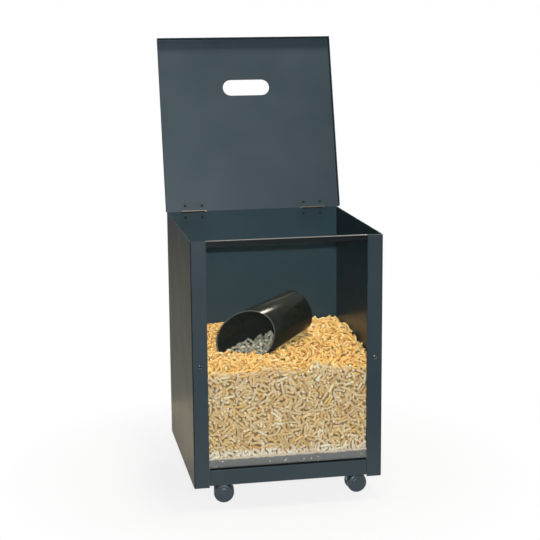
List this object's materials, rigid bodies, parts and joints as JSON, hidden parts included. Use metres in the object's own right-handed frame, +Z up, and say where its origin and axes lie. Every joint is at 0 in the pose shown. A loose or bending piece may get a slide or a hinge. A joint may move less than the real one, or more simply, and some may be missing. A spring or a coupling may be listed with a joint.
{
  "type": "pellet storage bin",
  "caption": "Square steel box on casters for wood pellets, with a front window, a lid with a hand hole that hinges at the back, a pellet fill and a loose scoop.",
  "frame": {"origin": "on the floor under the wheels, at the middle of the bin's box with its lid open", "axes": "+X to the right seen from the window, +Y from the window to the back, +Z up"},
  "size_m": [0.385, 0.4854, 0.9128],
  "materials": {
    "anthracite_paint": "satin powder coat",
    "hinge_paint": "satin paint, worn bright on the knuckles",
    "bare_steel": "zinc plated",
    "dark_screw": "blackened, glossy dome",
    "trim_grey": "satin grey",
    "window_glass": "clear",
    "caster_black": "moulded, satin",
    "wood_pellets": "pressed softwood pellets",
    "scoop_black": "glossy moulded"
  },
  "bodies": {
    "bin": {"left_side_panel": "anthracite_paint", "right_side_panel": "anthracite_paint", "back_panel": "anthracite_paint", "floor_pan": "anthracite_paint", "front_rail": "anthracite_paint", "window_clip_left": "anthracite_paint", "window_clip_right": "anthracite_paint", "window_pane": "window_glass", "window_top_trim": "trim_grey", "window_screw_left": "dark_screw", "hinge_left_pin": "bare_steel", "hinge_left_body_leaf": "hinge_paint", "hinge_left_body_rivet_a": "hinge_paint", "hinge_left_body_rivet_b": "hinge_paint", "window_screw_right": "dark_screw", "hinge_right_pin": "bare_steel", "hinge_right_body_leaf": "hinge_paint", "hinge_right_body_rivet_a": "hinge_paint", "hinge_right_body_rivet_b": "hinge_paint", "caster_front_left_stem": "bare_steel", "caster_front_left_nut": "bare_steel", "caster_front_right_stem": "bare_steel", "caster_front_right_nut": "bare_steel", "caster_back_left_stem": "bare_steel", "caster_back_left_nut": "bare_steel", "caster_back_right_stem": "bare_steel", "caster_back_right_nut": "bare_steel", "pellet_heap": "wood_pellets"},
    "lid": {"lid_panel": "anthracite_paint", "hinge_left_lid_leaf": "hinge_paint", "hinge_left_lid_rivet_a": "hinge_paint", "hinge_left_lid_rivet_b": "hinge_paint", "hinge_right_lid_leaf": "hinge_paint", "hinge_right_lid_rivet_a": "hinge_paint", "hinge_right_lid_rivet_b": "hinge_paint"},
    "scoop": {"pellet_scoop": "scoop_black"},
    "caster_front_left": {"caster_front_left_fork": "caster_black", "caster_front_left_axle": "bare_steel"},
    "caster_front_left_wheel_a": {"caster_front_left_wheel_a": "caster_black"},
    "caster_front_left_wheel_b": {"caster_front_left_wheel_b": "caster_black"},
    "caster_front_right": {"caster_front_right_fork": "caster_black", "caster_front_right_axle": "bare_steel"},
    "caster_front_right_wheel_a": {"caster_front_right_wheel_a": "caster_black"},
    "caster_front_right_wheel_b": {"caster_front_right_wheel_b": "caster_black"},
    "caster_back_left": {"caster_back_left_fork": "caster_black", "caster_back_left_axle": "bare_steel"},
    "caster_back_left_wheel_a": {"caster_back_left_wheel_a": "caster_black"},
    "caster_back_left_wheel_b": {"caster_back_left_wheel_b": "caster_black"},
    "caster_back_right": {"caster_back_right_fork": "caster_black", "caster_back_right_axle": "bare_steel"},
    "caster_back_right_wheel_a": {"caster_back_right_wheel_a": "caster_black"},
    "caster_back_right_wheel_b": {"caster_back_right_wheel_b": "caster_black"}
  },
  "joints": [
    {"name": "lid_hinge", "type": "hinge", "parent": "bin", "child": "lid", "pos_m": [0, 0.13416, 0.5427], "axis": [-1, 0, 0], "range_deg": [-106.5, 0]},
    {"name": "caster_front_left_swivel", "type": "hinge", "parent": "bin", "child": "caster_front_left", "pos_m": [-0.137, -0.18674, 0.0435], "axis": [0, 0, 1], "continuous": true},
    {"name": "caster_front_left_wheel_a_spin", "type": "hinge", "parent": "caster_front_left", "child": "caster_front_left_wheel_a", "pos_m": [-0.12413, -0.18855, 0.02], "axis": [0.1392, 0.9903, 0], "continuous": true},
    {"name": "caster_front_left_wheel_b_spin", "type": "hinge", "parent": "caster_front_left", "child": "caster_front_left_wheel_b", "pos_m": [-0.12413, -0.18855, 0.02], "axis": [0.1392, 0.9903, 0], "continuous": true},
    {"name": "caster_front_right_swivel", "type": "hinge", "parent": "bin", "child": "caster_front_right", "pos_m": [0.137, -0.18674, 0.0435], "axis": [0, 0, 1], "continuous": true},
    {"name": "caster_front_right_wheel_a_spin", "type": "hinge", "parent": "caster_front_right", "child": "caster_front_right_wheel_a", "pos_m": [0.14998, -0.18606, 0.02], "axis": [-0.0523, 0.9986, 0], "continuous": true},
    {"name": "caster_front_right_wheel_b_spin", "type": "hinge", "parent": "caster_front_right", "child": "caster_front_right_wheel_b", "pos_m": [0.14998, -0.18606, 0.02], "axis": [-0.0523, 0.9986, 0], "continuous": true},
    {"name": "caster_back_left_swivel", "type": "hinge", "parent": "bin", "child": "caster_back_left", "pos_m": [-0.137, 0.08726, 0.0435], "axis": [0, 0, 1], "continuous": true},
    {"name": "caster_back_left_wheel_a_spin", "type": "hinge", "parent": "caster_back_left", "child": "caster_back_left_wheel_a", "pos_m": [-0.12407, 0.08861, 0.02], "axis": [-0.1045, 0.9945, 0], "continuous": true},
    {"name": "caster_back_left_wheel_b_spin", "type": "hinge", "parent": "caster_back_left", "child": "caster_back_left_wheel_b", "pos_m": [-0.12407, 0.08861, 0.02], "axis": [-0.1045, 0.9945, 0], "continuous": true},
    {"name": "caster_back_right_swivel", "type": "hinge", "parent": "bin", "child": "caster_back_right", "pos_m": [0.137, 0.08726, 0.0435], "axis": [0, 0, 1], "continuous": true},
    {"name": "caster_back_right_wheel_a_spin", "type": "hinge", "parent": "caster_back_right", "child": "caster_back_right_wheel_a", "pos_m": [0.14972, 0.08455, 0.02], "axis": [0.2079, 0.9781, 0], "continuous": true},
    {"name": "caster_back_right_wheel_b_spin", "type": "hinge", "parent": "caster_back_right", "child": "caster_back_right_wheel_b", "pos_m": [0.14972, 0.08455, 0.02], "axis": [0.2079, 0.9781, 0], "continuous": true},
    {"name": "scoop_lift", "type": "slide", "parent": "bin", "child": "scoop", "axis": [0, 0, 1], "range_m": [0, 0.3]}
  ]
}
